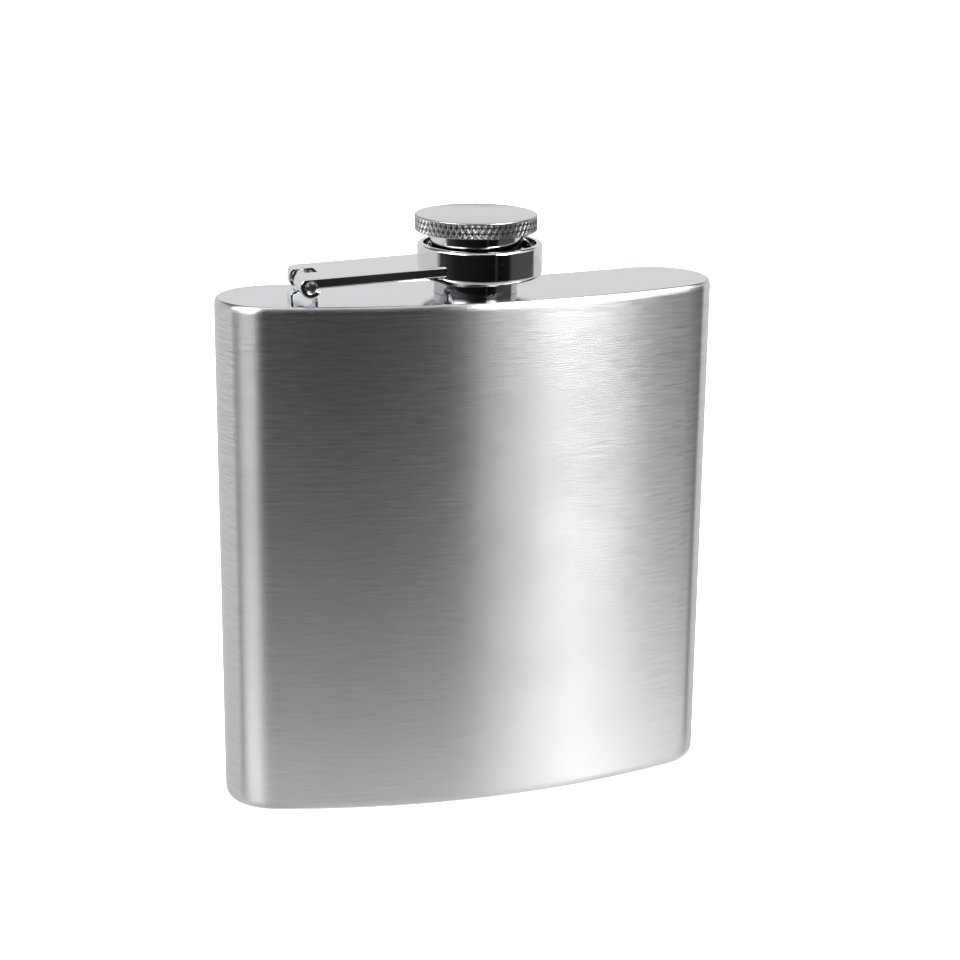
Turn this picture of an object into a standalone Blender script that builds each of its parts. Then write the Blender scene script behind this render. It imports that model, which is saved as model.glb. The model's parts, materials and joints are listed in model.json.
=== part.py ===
"""A stainless steel hip flask with a captive screw cap on a hinged arm.

The frame has +Z up, +X to the right and -Y towards the convex front face. The origin is at the
middle of the bounding box's underside. Dimensions are in millimetres and become metres when a
mesh is made.
"""

import math

import bmesh
import bpy

MM = 0.001

# Body: a wrapped shell between a convex front and a concave back, with full-round ends.
BODY_WIDTH = 93.0
BODY_HEIGHT = 94.7
BODY_THICKNESS = 22.5  # front to back, at the middle
FRONT_RADIUS = 141.0
BACK_RADIUS = 185.0
SHELL_WALL = 0.7
RIM_ROUND = 0.7  # round-over on the shell's top and bottom edges
PLATE_THICKNESS = 0.8
PLATE_SEAM = 0.1  # between a plate's edge and the shell

# Neck, with heights above the top plate.
NECK_BORE = 6.0
NECK_THREAD_RADIUS = 7.1
NECK_COLLAR_RADIUS = 7.5
NECK_COLLAR_TOP = 2.3
NECK_SPIGOT_RADIUS = 7.0
NECK_HOLE_RADIUS = 7.1
NECK_FLANGE_RADIUS = 8.6
NECK_FLANGE_THICKNESS = 0.6
NECK_HEIGHT = 9.2

# Cap, which turns about the neck's axis.
HEAD_RADIUS = 11.0
HEAD_UNDERSIDE = 11.1
HEAD_HEIGHT = 2.9
HEAD_CHAMFER = 0.25
HEAD_RECESS = 1.2  # depth of the recess that takes the sleeve's top
SLEEVE_RADIUS = 8.13
SLEEVE_BORE = 7.6
SLEEVE_END = 3.1
SLEEVE_CEILING = 10.5
SLEEVE_FLANGE_RADIUS = 8.6
SLEEVE_FLANGE_THICKNESS = 0.45
SEAL_RADIUS = 7.45
SEAL_THICKNESS = 1.1
WASHER_RADIUS = 9.25
WASHER_THICKNESS = 0.47

# Arm: a strip with a collar at one end and a curled knuckle at the other.
COLLAR_RADIUS = 11.24
COLLAR_BORE = 10.1
COLLAR_OFFSET = 0.75  # the collar hangs this far off the cap's axis, within its play
COLLAR_BOTTOM = 2.9
COLLAR_TOP = 8.85
COLLAR_ROUND = 0.95  # round-over on the collar's lower edge
COLLAR_TOP_ROUND = 0.55  # round-over on its upper outer edge
COLLAR_EDGE = 0.15
WEB_RADIUS = 8.95  # hole in the web that keeps the cap captive
WEB_BOTTOM = 5.75
WEB_TOP = 6.55
ARM_FRONT = -7.6  # the strip's two edges, in Y from the pin's middle plane
ARM_BACK = 6.6
ARM_CORNER = 3.2  # round of the strip's back corner at the knuckle, seen from above
ARM_THICKNESS = 1.75
ARM_SLOPE = 0.042  # rise of the strip for each millimetre towards the collar
KNUCKLE_RADIUS = 1.95
ARM_TOP_AT_PIN = 1.5  # above the pin's axis

# Hinge.
PIN_X = -31.65
PIN_HEIGHT = 3.5
PIN_RADIUS = 0.87
PIN_FRONT = -7.5
PIN_BACK = 5.7
KNUCKLE_BORE = 0.92
EYE_BORE = 0.95
BRACKET_WIDTH = 3.2
BRACKET_THICKNESS = 0.5
BRACKET_FOOT_X = 2.2  # from the pin's axis to the middle of a leg
SLOT_CLEARANCE = 0.25
SLOT_REACH = 2.3  # how far the arm's slot goes past the pin towards the collar

JOINT_GAP = 0.05  # between pieces that are pressed or brazed together

ROUND_STEPS = 64
FACE_STEPS = 24
END_STEPS = 10


def clear_scene():
    for obj in list(bpy.data.objects):
        bpy.data.objects.remove(obj, do_unlink=True)


def material(name, color, roughness, metallic):
    made = bpy.data.materials.new(name)
    made.use_nodes = True
    shader = made.node_tree.nodes["Principled BSDF"]
    shader.inputs["Base Color"].default_value = (*color, 1.0)
    shader.inputs["Roughness"].default_value = roughness
    shader.inputs["Metallic"].default_value = metallic
    return made


def empty(name, position, parent=None):
    """An empty at a position in millimetres, counted from its parent."""
    made = bpy.data.objects.new(name, None)
    made.location = [value * MM for value in position]
    made.parent = parent
    bpy.context.scene.collection.objects.link(made)
    return made


def finish_mesh(name, mesh_data, parent=None, look=None):
    """Turns a bmesh in millimetres into a smooth-shaded object with sharp edges kept."""
    bmesh.ops.recalc_face_normals(mesh_data, faces=mesh_data.faces)
    bmesh.ops.scale(mesh_data, vec=(MM, MM, MM), verts=mesh_data.verts)
    mesh = bpy.data.meshes.new(name)
    mesh_data.to_mesh(mesh)
    mesh_data.free()
    mesh.shade_smooth()
    mesh.set_sharp_from_angle(angle=math.radians(30))
    made = bpy.data.objects.new(name, mesh)
    made.parent = parent
    bpy.context.scene.collection.objects.link(made)
    if look:
        mesh.materials.append(look)
    return made


def join_rings(mesh_data, rings, closed):
    """Faces between neighbouring rings of vertices. A ring of one vertex is a pole."""
    pairs = list(zip(rings, rings[1:]))
    if closed:
        pairs.append((rings[-1], rings[0]))
    for low, high in pairs:
        count = max(len(low), len(high))
        for step in range(count):
            after = (step + 1) % count
            corners = [low[step % len(low)], low[after % len(low)]]
            corners += [high[after % len(high)], high[step % len(high)]]
            mesh_data.faces.new(list(dict.fromkeys(corners)))


def lathe(name, profile, look, parent=None, centre=(0.0, 0.0), steps=ROUND_STEPS):
    """Turns a profile of (radius, height) points about the vertical axis through centre.

    A profile that starts and ends on the axis makes a solid, and any other one makes a ring.
    """
    mesh_data = bmesh.new()
    rings = []
    for radius, height in profile:
        count = steps if radius > 0 else 1
        ring = []
        for step in range(count):
            turn = math.tau * step / count
            x = centre[0] + radius * math.cos(turn)
            y = centre[1] + radius * math.sin(turn)
            ring.append(mesh_data.verts.new((x, y, height)))
        rings.append(ring)
    join_rings(mesh_data, rings, closed=profile[0][0] > 0)
    return finish_mesh(name, mesh_data, parent, look)


def prism(name, outline, y_low, y_high, look=None, parent=None):
    """Extrudes an outline of (x, z) points along Y."""
    mesh_data = bmesh.new()
    near = [mesh_data.verts.new((x, y_low, z)) for x, z in outline]
    far = [mesh_data.verts.new((x, y_high, z)) for x, z in outline]
    join_rings(mesh_data, [near, far], closed=False)
    mesh_data.faces.new(near)
    mesh_data.faces.new(far)
    return finish_mesh(name, mesh_data, parent, look)


def cutter(made):
    made.hide_render = True
    made.display_type = "WIRE"
    return made


def boolean(target, operation, other):
    modifier = target.modifiers.new(other.name, "BOOLEAN")
    modifier.operation = operation
    modifier.solver = "EXACT"
    modifier.object = other
    cutter(other)


def arc(centre, radius, start, end, steps):
    """Points from one angle to another, in degrees, with both ends included."""
    points = []
    for step in range(steps + 1):
        turn = math.radians(start + (end - start) * step / steps)
        points.append((centre[0] + radius * math.cos(turn), centre[1] + radius * math.sin(turn)))
    return points


def end_circle():
    """(radius, x, y) of the full-round end, which touches both faces and the side.

    The circle that touches the front and the side, and the one that touches the back and the
    side, have the same centre at just one radius.
    """
    low, high = 1.0, BODY_THICKNESS / 2
    for _ in range(60):
        radius = (low + high) / 2
        x = BODY_WIDTH / 2 - radius
        front_y = front_centre() - math.sqrt((FRONT_RADIUS - radius) ** 2 - x**2)
        back_y = back_centre() - math.sqrt((BACK_RADIUS + radius) ** 2 - x**2)
        if front_y > back_y:
            high = radius
        else:
            low = radius
    return radius, x, front_y


def front_centre():
    """Y of the front face's arc centre, with y = 0 midway through the body."""
    return FRONT_RADIUS - BODY_THICKNESS / 2


def back_centre():
    return BACK_RADIUS + BODY_THICKNESS / 2


END_RADIUS, END_X, END_Y = end_circle()
BODY_MIDDLE_Y = (BODY_THICKNESS / 2 - END_Y - END_RADIUS) / 2  # puts the box's middle at y = 0


def footprint(inset):
    """The body's outline seen from above, anticlockwise, moved inwards by inset."""
    front = (0.0, front_centre())
    back = (0.0, back_centre())
    end = (END_X, END_Y)
    front_touch = math.degrees(math.atan2(END_Y - front[1], END_X))
    back_touch = math.degrees(math.atan2(back[1] - END_Y, -END_X))
    right = arc(end, END_RADIUS - inset, front_touch, 0, END_STEPS)
    right += arc(end, END_RADIUS - inset, 0, back_touch, END_STEPS)[1:]
    back_face = arc(back, BACK_RADIUS + inset, back_touch - 180, -back_touch, FACE_STEPS)[1:-1]
    left = [(-x, y) for x, y in reversed(right)]
    front_face = arc(front, FRONT_RADIUS - inset, -180 - front_touch, front_touch, FACE_STEPS)
    outline = right + back_face + left + front_face[1:-1]
    return [(x, y + BODY_MIDDLE_Y) for x, y in outline]


def footprint_solid(name, profile, closed, look):
    """Carries a profile of (inset, height) points round the body's outline.

    A closed profile makes a tube, and an open one gets flat faces over both ends.
    """
    mesh_data = bmesh.new()
    rings = []
    for inset, height in profile:
        rings.append([mesh_data.verts.new((x, y, height)) for x, y in footprint(inset)])
    join_rings(mesh_data, rings, closed)
    if not closed:
        mesh_data.faces.new(rings[0])
        mesh_data.faces.new(rings[-1])
    return finish_mesh(name, mesh_data, look=look)


def body_shell(look):
    """The wrapped tube, open at both ends, with its outer edges rounded over."""
    lower = arc((RIM_ROUND, RIM_ROUND), RIM_ROUND, 270, 180, 4)
    upper = arc((RIM_ROUND, BODY_HEIGHT - RIM_ROUND), RIM_ROUND, 180, 90, 4)
    inner = [(SHELL_WALL, BODY_HEIGHT - RIM_ROUND / 2), (SHELL_WALL, RIM_ROUND / 2)]
    footprint_solid("body_shell", lower + upper[:-1] + [upper[-1]] + inner, True, look)


def plate(name, low, look):
    inset = SHELL_WALL + PLATE_SEAM
    profile = [(inset, low), (inset, low + PLATE_THICKNESS)]
    return footprint_solid(name, profile, False, look)


def top_plate(look):
    made = plate("top_plate", BODY_HEIGHT - PLATE_THICKNESS, look)
    profile = [(0.0, -2.0), (NECK_HOLE_RADIUS, -2.0), (NECK_HOLE_RADIUS, 1.0), (0.0, 1.0)]
    profile = [(radius, height + BODY_HEIGHT) for radius, height in profile]
    hole = lathe("neck_hole", profile, None, centre=(0.0, BODY_MIDDLE_Y))
    boolean(made, "DIFFERENCE", hole)


def neck(look, parent):
    """The spout: a flange under the plate, a plain collar on it and the threaded part."""
    flange_top = -PLATE_THICKNESS - JOINT_GAP
    flange_bottom = flange_top - NECK_FLANGE_THICKNESS
    profile = [
        (NECK_BORE, flange_bottom),
        (NECK_FLANGE_RADIUS, flange_bottom),
        (NECK_FLANGE_RADIUS, flange_top),
        (NECK_SPIGOT_RADIUS, flange_top),
        (NECK_SPIGOT_RADIUS, JOINT_GAP),
        (NECK_COLLAR_RADIUS, JOINT_GAP),
        (NECK_COLLAR_RADIUS, NECK_COLLAR_TOP - 0.1),
        (NECK_THREAD_RADIUS, NECK_COLLAR_TOP + 0.1),
        (NECK_THREAD_RADIUS, NECK_HEIGHT - 0.3),
        (NECK_THREAD_RADIUS - 0.3, NECK_HEIGHT),
        (NECK_BORE + 0.2, NECK_HEIGHT),
        (NECK_BORE, NECK_HEIGHT - 0.2),
    ]
    lathe("neck", profile, look, parent)


def cap_head(look, parent):
    """The knurled disc that the fingers turn, with a recess underneath for the sleeve."""
    top = HEAD_UNDERSIDE + HEAD_HEIGHT
    recess_radius = SLEEVE_RADIUS + 0.07
    profile = [
        (0.0, HEAD_UNDERSIDE + HEAD_RECESS),
        (recess_radius, HEAD_UNDERSIDE + HEAD_RECESS),
        (recess_radius, HEAD_UNDERSIDE),
        (HEAD_RADIUS - HEAD_CHAMFER, HEAD_UNDERSIDE),
        (HEAD_RADIUS, HEAD_UNDERSIDE + HEAD_CHAMFER),
        (HEAD_RADIUS, top - HEAD_CHAMFER),
        (HEAD_RADIUS - HEAD_CHAMFER, top),
        (0.0, top),
    ]
    lathe("cap_head", profile, look, parent)


def cap_sleeve(look, parent):
    """The threaded cup under the head, with a flange swaged out at its open end."""
    top = HEAD_UNDERSIDE + HEAD_RECESS - JOINT_GAP
    flange_top = SLEEVE_END + SLEEVE_FLANGE_THICKNESS
    profile = [
        (0.0, top),
        (SLEEVE_RADIUS, top),
        (SLEEVE_RADIUS, flange_top),
        (SLEEVE_FLANGE_RADIUS, flange_top),
        (SLEEVE_FLANGE_RADIUS, SLEEVE_END),
        (SLEEVE_BORE, SLEEVE_END),
        (SLEEVE_BORE, SLEEVE_CEILING),
        (0.0, SLEEVE_CEILING),
    ]
    lathe("cap_sleeve", profile, look, parent)


def cap_seal(look, parent):
    """The soft disc inside the cap that closes the mouth of the neck."""
    low = NECK_HEIGHT + 0.1
    profile = [
        (0.0, low),
        (SEAL_RADIUS - 0.15, low),
        (SEAL_RADIUS, low + 0.15),
        (SEAL_RADIUS, low + SEAL_THICKNESS),
        (0.0, low + SEAL_THICKNESS),
    ]
    lathe("cap_seal", profile, look, parent)


def cap_washer(look, parent):
    """The loose washer on the sleeve, held by its flange, that the collar can't pass."""
    low = SLEEVE_END + SLEEVE_FLANGE_THICKNESS + JOINT_GAP
    bore = SLEEVE_RADIUS + 0.07
    profile = [
        (bore, low),
        (WASHER_RADIUS, low),
        (WASHER_RADIUS, low + WASHER_THICKNESS),
        (bore, low + WASHER_THICKNESS),
    ]
    lathe("cap_washer", profile, look, parent)


def collar_profile():
    """The arm's collar: a wall with rounded outer edges and a web part of the way up."""
    upper = (COLLAR_RADIUS - COLLAR_TOP_ROUND, COLLAR_TOP - COLLAR_TOP_ROUND)
    profile = arc(upper, COLLAR_TOP_ROUND, 0, 90, 4)
    profile += [
        (COLLAR_BORE + COLLAR_EDGE, COLLAR_TOP),
        (COLLAR_BORE, COLLAR_TOP - COLLAR_EDGE),
        (COLLAR_BORE, WEB_TOP),
        (WEB_RADIUS, WEB_TOP),
        (WEB_RADIUS, WEB_BOTTOM),
        (COLLAR_BORE, WEB_BOTTOM),
        (COLLAR_BORE, COLLAR_BOTTOM),
    ]
    lower = (COLLAR_RADIUS - COLLAR_ROUND, COLLAR_BOTTOM + COLLAR_ROUND)
    return profile + arc(lower, COLLAR_ROUND, 270, 360, 5)


def strip_outline(length):
    """The arm's strip and its curled knuckle, as (x, z) points counted from the pin's axis."""
    top_left = math.degrees(math.asin(ARM_TOP_AT_PIN / KNUCKLE_RADIUS))
    underside = ARM_TOP_AT_PIN - ARM_THICKNESS
    curl_end = 335
    mouth = math.degrees(math.asin(underside / KNUCKLE_BORE))
    outline = [(length, ARM_TOP_AT_PIN + ARM_SLOPE * length)]
    outline += arc((0, 0), KNUCKLE_RADIUS, 180 - top_left, curl_end, 18)
    outline += arc((0, 0), KNUCKLE_BORE, curl_end, mouth, 24)
    outline.append((length, underside + ARM_SLOPE * length))
    return outline


def corner_cutter(parent):
    """What lies outside the round of the strip's back corner at the knuckle."""
    middle = (ARM_CORNER - KNUCKLE_RADIUS, ARM_BACK - ARM_CORNER)
    outline = arc(middle, ARM_CORNER, 90, 180, 6)
    outline += [(-KNUCKLE_RADIUS - 1.0, middle[1]), (-KNUCKLE_RADIUS - 1.0, ARM_BACK + 1.0)]
    outline += [(middle[0], ARM_BACK + 1.0)]
    mesh_data = bmesh.new()
    low = [mesh_data.verts.new((x, y, -3.0)) for x, y in outline]
    high = [mesh_data.verts.new((x, y, 3.0)) for x, y in outline]
    join_rings(mesh_data, [low, high], closed=False)
    mesh_data.faces.new(low)
    mesh_data.faces.new(high)
    return finish_mesh("corner", mesh_data, parent)


def cap_arm(look, parent):
    """The strip that joins the pin to the collar, slotted for the bracket's eye."""
    to_collar = COLLAR_OFFSET - PIN_X
    end = to_collar - math.sqrt(COLLAR_BORE**2 - ARM_FRONT**2) - 0.3
    strip = prism("cap_arm", strip_outline(end), ARM_FRONT, ARM_BACK, look, parent)
    boolean(strip, "DIFFERENCE", corner_cutter(parent))
    inside = (COLLAR_BORE + COLLAR_RADIUS) / 2
    tube = [(0.0, -9.0), (inside, -9.0), (inside, 9.0), (0.0, 9.0)]
    hollow = lathe("collar_hollow", tube, None, parent, centre=(to_collar, 0.0))
    boolean(strip, "DIFFERENCE", hollow)
    profile = [(radius, height - PIN_HEIGHT) for radius, height in collar_profile()]
    collar = lathe("collar", profile, look, parent, centre=(to_collar, 0.0))
    boolean(strip, "UNION", collar)
    slot_half = BRACKET_WIDTH / 2 + SLOT_CLEARANCE
    reach = KNUCKLE_RADIUS + 1.0
    slot = [(-reach, -reach), (SLOT_REACH, -reach), (SLOT_REACH, reach), (-reach, reach)]
    boolean(strip, "DIFFERENCE", prism("bracket_slot", slot, -slot_half, slot_half, parent=parent))


def hinge_pin(look, parent):
    outline = arc((0, 0), PIN_RADIUS, 0, 360, 24)[:-1]
    prism("hinge_pin", outline, PIN_FRONT, PIN_BACK, look, parent)


def bracket_centreline():
    """The bracket's strap from its left foot, round the pin, as (x, z) points from the pin."""
    foot = -PIN_HEIGHT + JOINT_GAP
    radius = EYE_BORE + BRACKET_THICKNESS / 2
    left = [(-BRACKET_FOOT_X, foot), (-BRACKET_FOOT_X, -2.6)]
    left += arc((-BRACKET_FOOT_X + 0.6, -2.6), 0.6, 180, 105, 3)[1:]
    left.append((-1.15, -1.72))
    eye = arc((0, 0), radius, 222, -42, 20)
    right = [(-x, z) for x, z in reversed(left)]
    return left + eye + right


def ribbon(centreline, thickness):
    """The outline of a strap of even thickness that follows a centreline."""
    sides = ([], [])
    for index, (x, z) in enumerate(centreline):
        before = centreline[max(index - 1, 0)]
        after = centreline[min(index + 1, len(centreline) - 1)]
        along = (after[0] - before[0], after[1] - before[1])
        size = math.hypot(*along)
        across = (-along[1] / size * thickness / 2, along[0] / size * thickness / 2)
        sides[0].append((x + across[0], z + across[1]))
        sides[1].append((x - across[0], z - across[1]))
    return sides[0] + sides[1][::-1]


def hinge_bracket(look, parent):
    """The strap loop on the top plate that holds the middle of the pin."""
    half = BRACKET_WIDTH / 2
    outline = ribbon(bracket_centreline(), BRACKET_THICKNESS)
    prism("hinge_bracket", outline, -half, half, look, parent)


def main():
    clear_scene()
    brushed = material("brushed_steel", (0.62, 0.62, 0.62), 0.32, 1.0)
    polished = material("polished_steel", (0.70, 0.70, 0.72), 0.08, 1.0)
    plated = material("plated_steel", (0.66, 0.66, 0.67), 0.06, 1.0)
    knurled = material("knurled_steel", (0.60, 0.59, 0.60), 0.25, 1.0)
    steel = material("pin_steel", (0.45, 0.45, 0.46), 0.30, 1.0)
    soft = material("seal_white", (0.82, 0.82, 0.78), 0.55, 0.0)

    body_shell(brushed)
    plate("bottom_plate", 0.0, polished)
    top_plate(polished)
    neck_base = empty("neck_axis", (0.0, BODY_MIDDLE_Y, BODY_HEIGHT))
    neck(plated, neck_base)

    hinge = empty("arm_hinge_axis", (PIN_X, 0.0, PIN_HEIGHT), neck_base)
    hinge_bracket(polished, empty("bracket_place", (PIN_X, 0.0, PIN_HEIGHT), neck_base))
    cap_arm(plated, hinge)
    hinge_pin(steel, hinge)

    cap_axis = empty("cap_axis", (-PIN_X, 0.0, -PIN_HEIGHT), hinge)
    cap_head(knurled, cap_axis)
    cap_sleeve(plated, cap_axis)
    cap_seal(soft, cap_axis)
    cap_washer(steel, cap_axis)


main()
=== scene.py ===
"""The looks of a hip flask: a visual piece with its material for each CAD node, and round them
the studio and the camera.

Lengths are in millimetres, and become metres when a mesh is made. Shader coordinates are in
metres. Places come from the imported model's boxes and joints.
"""

import json
import math

import bmesh
import bpy
from mathutils import Matrix, Vector


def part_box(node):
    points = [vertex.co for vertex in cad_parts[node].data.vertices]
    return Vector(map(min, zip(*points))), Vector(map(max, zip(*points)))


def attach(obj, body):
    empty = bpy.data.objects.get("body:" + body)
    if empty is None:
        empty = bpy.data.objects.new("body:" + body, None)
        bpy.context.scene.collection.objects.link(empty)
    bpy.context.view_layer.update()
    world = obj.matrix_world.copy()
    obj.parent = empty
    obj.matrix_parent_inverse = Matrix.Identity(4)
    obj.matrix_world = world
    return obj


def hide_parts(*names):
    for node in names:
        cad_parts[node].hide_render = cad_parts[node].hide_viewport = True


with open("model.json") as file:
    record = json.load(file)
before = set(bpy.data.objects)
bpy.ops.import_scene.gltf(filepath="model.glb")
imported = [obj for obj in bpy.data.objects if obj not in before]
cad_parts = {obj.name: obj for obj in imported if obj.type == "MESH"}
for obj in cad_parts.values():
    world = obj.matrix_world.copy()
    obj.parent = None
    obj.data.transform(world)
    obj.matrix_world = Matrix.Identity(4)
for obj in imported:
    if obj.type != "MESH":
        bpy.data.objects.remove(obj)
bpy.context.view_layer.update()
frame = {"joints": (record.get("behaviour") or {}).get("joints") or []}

MM = 0.001
SHARP_ANGLE = 35.0  # degrees between two faces from which their shared edge stays sharp
JOINT_GAP = 0.05  # between pieces that are welded or brazed together
PRESS_GAP = 0.07  # between the sleeve and what sits on it

# Body. The outline is seen from above.
FRONT_RADIUS = 141.0
BACK_RADIUS = 185.0
BODY_THICKNESS = 22.5
SHELL_WALL = 0.7
RIM_ROUND = 0.7
RIM_DROP = 1.5  # how far down the face its round-over starts
PLATE_INSET = 0.7
PLATE_EDGE = 0.1

# Neck. Heights are above the top plate.
NECK_BORE = 6.0
NECK_FLANGE_RADIUS = 8.6
NECK_FLANGE_THICKNESS = 0.6
NECK_SPIGOT_RADIUS = 7.0
NECK_HOLE_RADIUS = 7.1
NECK_COLLAR_RADIUS = 7.5
NECK_COLLAR_TOP = 2.3
NECK_COLLAR_EDGE = 0.25
NECK_LIP = 0.2
THREAD_MAJOR = 7.1
THREAD_MINOR = 6.55
THREAD_PITCH = 1.5
THREAD_START = 2.5
THREAD_FADE = 0.8  # height over which a thread comes up to its full depth
THREAD_SPACING = 0.1  # between the rings of points on a threaded or knurled wall

# Cap. The head's heights are above its underside, and the sleeve's above the top plate.
HEAD_RADIUS = 11.0
HEAD_RECESS = 1.2
HEAD_ROUND = 0.22
HEAD_SHARP_ANGLE = 24.0
KNURL_COUNT = 64
KNURL_ROW = 1.0
KNURL_DEPTH = 0.22
KNURL_STEP = 0.04  # from the knurl's ridges in to the plain rims above and below it
SLEEVE_RADIUS = 8.13
SLEEVE_ROOT = 7.88
SLEEVE_CREST = 7.6
SLEEVE_CEILING = 10.5
SLEEVE_FILLET = 0.15
SLEEVE_FLANGE_RADIUS = 8.6
SLEEVE_FLANGE_THICKNESS = 0.45
SEAL_RADIUS = 7.45
SEAL_EDGE = 0.15
WASHER_RADIUS = 9.25
WASHER_EDGE = 0.1

# The arm's collar. Heights are above the top plate.
COLLAR_RADIUS = 11.24
COLLAR_BORE = 10.1
COLLAR_OFFSET = 0.75  # of its axis from the cap's, along X
COLLAR_BOTTOM = 2.9
COLLAR_TOP = 8.85
COLLAR_ROUND = 0.95  # of the lower outer edge
COLLAR_TOP_ROUND = 0.55
COLLAR_EDGE = 0.14
WEB_RADIUS = 8.95
WEB_BOTTOM = 5.75
WEB_TOP = 6.55

# The arm's strip. Places are counted from the pin's axis and its middle plane.
ARM_THICKNESS = 1.75
ARM_SLOPE = 0.042
ARM_TOP_AT_PIN = 1.5
ARM_FRONT = -7.6
ARM_BACK = 6.6
ARM_CORNER = 3.2  # round of the back corner at the knuckle, seen from above
ARM_EDGE = 0.28
ARM_END_GAP = 0.3  # from the strip's end to the collar's bore
KNUCKLE_RADIUS = 1.95
KNUCKLE_BORE = 0.92
KNUCKLE_END = 335.0  # angle where the curl stops, anticlockwise from +X
SLOT_HALF_WIDTH = 1.85
SLOT_REACH = 2.3
CLEAR = 1.0  # how far a cutter stands out past what it cuts

# Pin and bracket. Places are counted from the pin's axis.
PIN_CHAMFER = 0.18
EYE_BORE = 0.95
EYE_START = 222.0  # angles where the strap meets the eye
EYE_END = -42.0
BRACKET_THICKNESS = 0.5
BRACKET_FOOT_X = 2.2
BRACKET_SHOULDER = -2.6
BRACKET_BEND = 0.6
BRACKET_WAIST = (-1.15, -1.72)
BRACKET_EDGE = 0.08


def box_mm(node):
    """The lowest and highest corners of a CAD node in millimetres."""
    low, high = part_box(node)
    return Vector(low) / MM, Vector(high) / MM


def joint_place(name):
    """Where a joint's axis stands, in millimetres."""
    found = next(joint for joint in frame["joints"] if joint["name"] == name)
    return Vector(found["pos_m"]) / MM


SHELL_HIGH = box_mm("body_shell")[1]
BODY_HALF_WIDTH = SHELL_HIGH.x
PLATE_TOP = SHELL_HIGH.z
HINGE = joint_place("arm_swing")
CAP_AXIS = joint_place("cap_spin")
MIDDLE_Y = HINGE.y


# ---------------------------------------------------------------- meshes


def finish_mesh(name, points, faces, uvs=None):
    """A smooth-shaded object from points in millimetres, faces, and one UV in metres per corner."""
    mesh = bpy.data.meshes.new(name)
    mesh.from_pydata([[value * MM for value in point] for point in points], [], faces)
    layer = mesh.uv_layers.new(name="surface")
    if uvs:
        corners = [value * MM for face in uvs for pair in face for value in pair]
        layer.data.foreach_set("uv", corners)
    mesh.shade_smooth()
    mesh.set_sharp_from_angle(angle=math.radians(SHARP_ANGLE))
    made = bpy.data.objects.new(name, mesh)
    bpy.context.scene.collection.objects.link(made)
    return made


def recalculate(made, sharp=SHARP_ANGLE):
    """Turns the faces of an object outwards and marks its sharp edges again."""
    work = bmesh.new()
    work.from_mesh(made.data)
    bmesh.ops.recalc_face_normals(work, faces=work.faces)
    work.to_mesh(made.data)
    work.free()
    made.data.shade_smooth()
    made.data.set_sharp_from_angle(angle=math.radians(sharp))
    return made


def weighted(made):
    """Keeps flat faces flat in the shading where an eased edge meets them."""
    modifier = made.modifiers.new("weighted", "WEIGHTED_NORMAL")
    modifier.keep_sharp = True
    return made


def distances(points):
    """The length of a chain of points up to each of them."""
    lengths = [0.0]
    for before, after in zip(points, points[1:]):
        lengths.append(lengths[-1] + math.dist(before, after))
    return lengths


def sweep(name, rings, closed, capped=False):
    """Joins closed rings of points, each to the next, and the last to the first if closed."""
    count = len(rings[0])
    around = distances(rings[0] + [rings[0][0]])
    along = distances([ring[0] for ring in rings] + [rings[0][0]])
    points = [point for ring in rings for point in ring]
    faces, uvs = [], []
    for row in range(len(rings) if closed else len(rings) - 1):
        above = (row + 1) % len(rings)
        for step in range(count):
            after = (step + 1) % count
            faces.append(
                (
                    row * count + step,
                    row * count + after,
                    above * count + after,
                    above * count + step,
                )
            )
            low, high = along[row], along[row + 1]
            left, right = around[step], around[step + 1]
            uvs.append(((left, low), (right, low), (right, high), (left, high)))
    if capped:
        for row, order in ((0, -1), (len(rings) - 1, 1)):
            faces.append(tuple(row * count + step for step in range(count))[::order])
            uvs.append(tuple((x, y) for x, y, _ in rings[row])[::order])
    return recalculate(finish_mesh(name, points, faces, uvs))


def lathe(name, profile, centre, steps=128, radius_at=None):
    """Turns (radius, height) points about a vertical axis. radius_at(r, z, turn) shapes a ring.

    A profile that starts on the axis gets flat faces at both ends, and any other one is a ring.
    """
    capped = profile[0][0] == 0
    inner = profile[1:-1] if capped else profile
    rings = []
    for radius, height in inner:
        ring = []
        for step in range(steps):
            turn = math.tau * step / steps
            size = radius_at(radius, height, turn) if radius_at else radius
            x = centre[0] + size * math.cos(turn)
            ring.append((x, centre[1] + size * math.sin(turn), centre[2] + height))
        rings.append(ring)
    return sweep(name, rings, closed=not capped, capped=capped)


def prism(name, outline, front, back):
    """Extrudes an outline of (x, z) points along Y, between two distances from MIDDLE_Y."""
    near = [(x, MIDDLE_Y + front, z) for x, z in outline]
    far = [(x, MIDDLE_Y + back, z) for x, z in outline]
    return sweep(name, [near, far], closed=False, capped=True)


def shrunk(outline, amount):
    """A closed outline of (x, z) points with each side moved inwards by an amount."""
    pairs = zip(outline, outline[1:] + outline[:1])
    area = sum(x * next_z - next_x * z for (x, z), (next_x, next_z) in pairs)
    turning = math.copysign(1.0, area)
    moved = []
    for index, point in enumerate(outline):
        here = Vector(point)
        along = (here - Vector(outline[index - 1])).normalized()
        onward = (Vector(outline[(index + 1) % len(outline)]) - here).normalized()
        one = Vector((-along.y, along.x)) * turning
        two = Vector((-onward.y, onward.x)) * turning
        moved.append(tuple(here + (one + two) * amount / (1.0 + one.dot(two))))
    return moved


def eased_prism(name, outline, front, back, edge):
    """A prism whose edges round both ends are rounded over."""
    rings = []
    for inset, rise in arc((edge, edge), edge, 270, 180, 5):
        rings.append([(x, MIDDLE_Y + front + rise, z) for x, z in shrunk(outline, inset)])
    for inset, rise in arc((edge, -edge), edge, 180, 90, 5):
        rings.append([(x, MIDDLE_Y + back + rise, z) for x, z in shrunk(outline, inset)])
    return sweep(name, rings, closed=False, capped=True)


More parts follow.
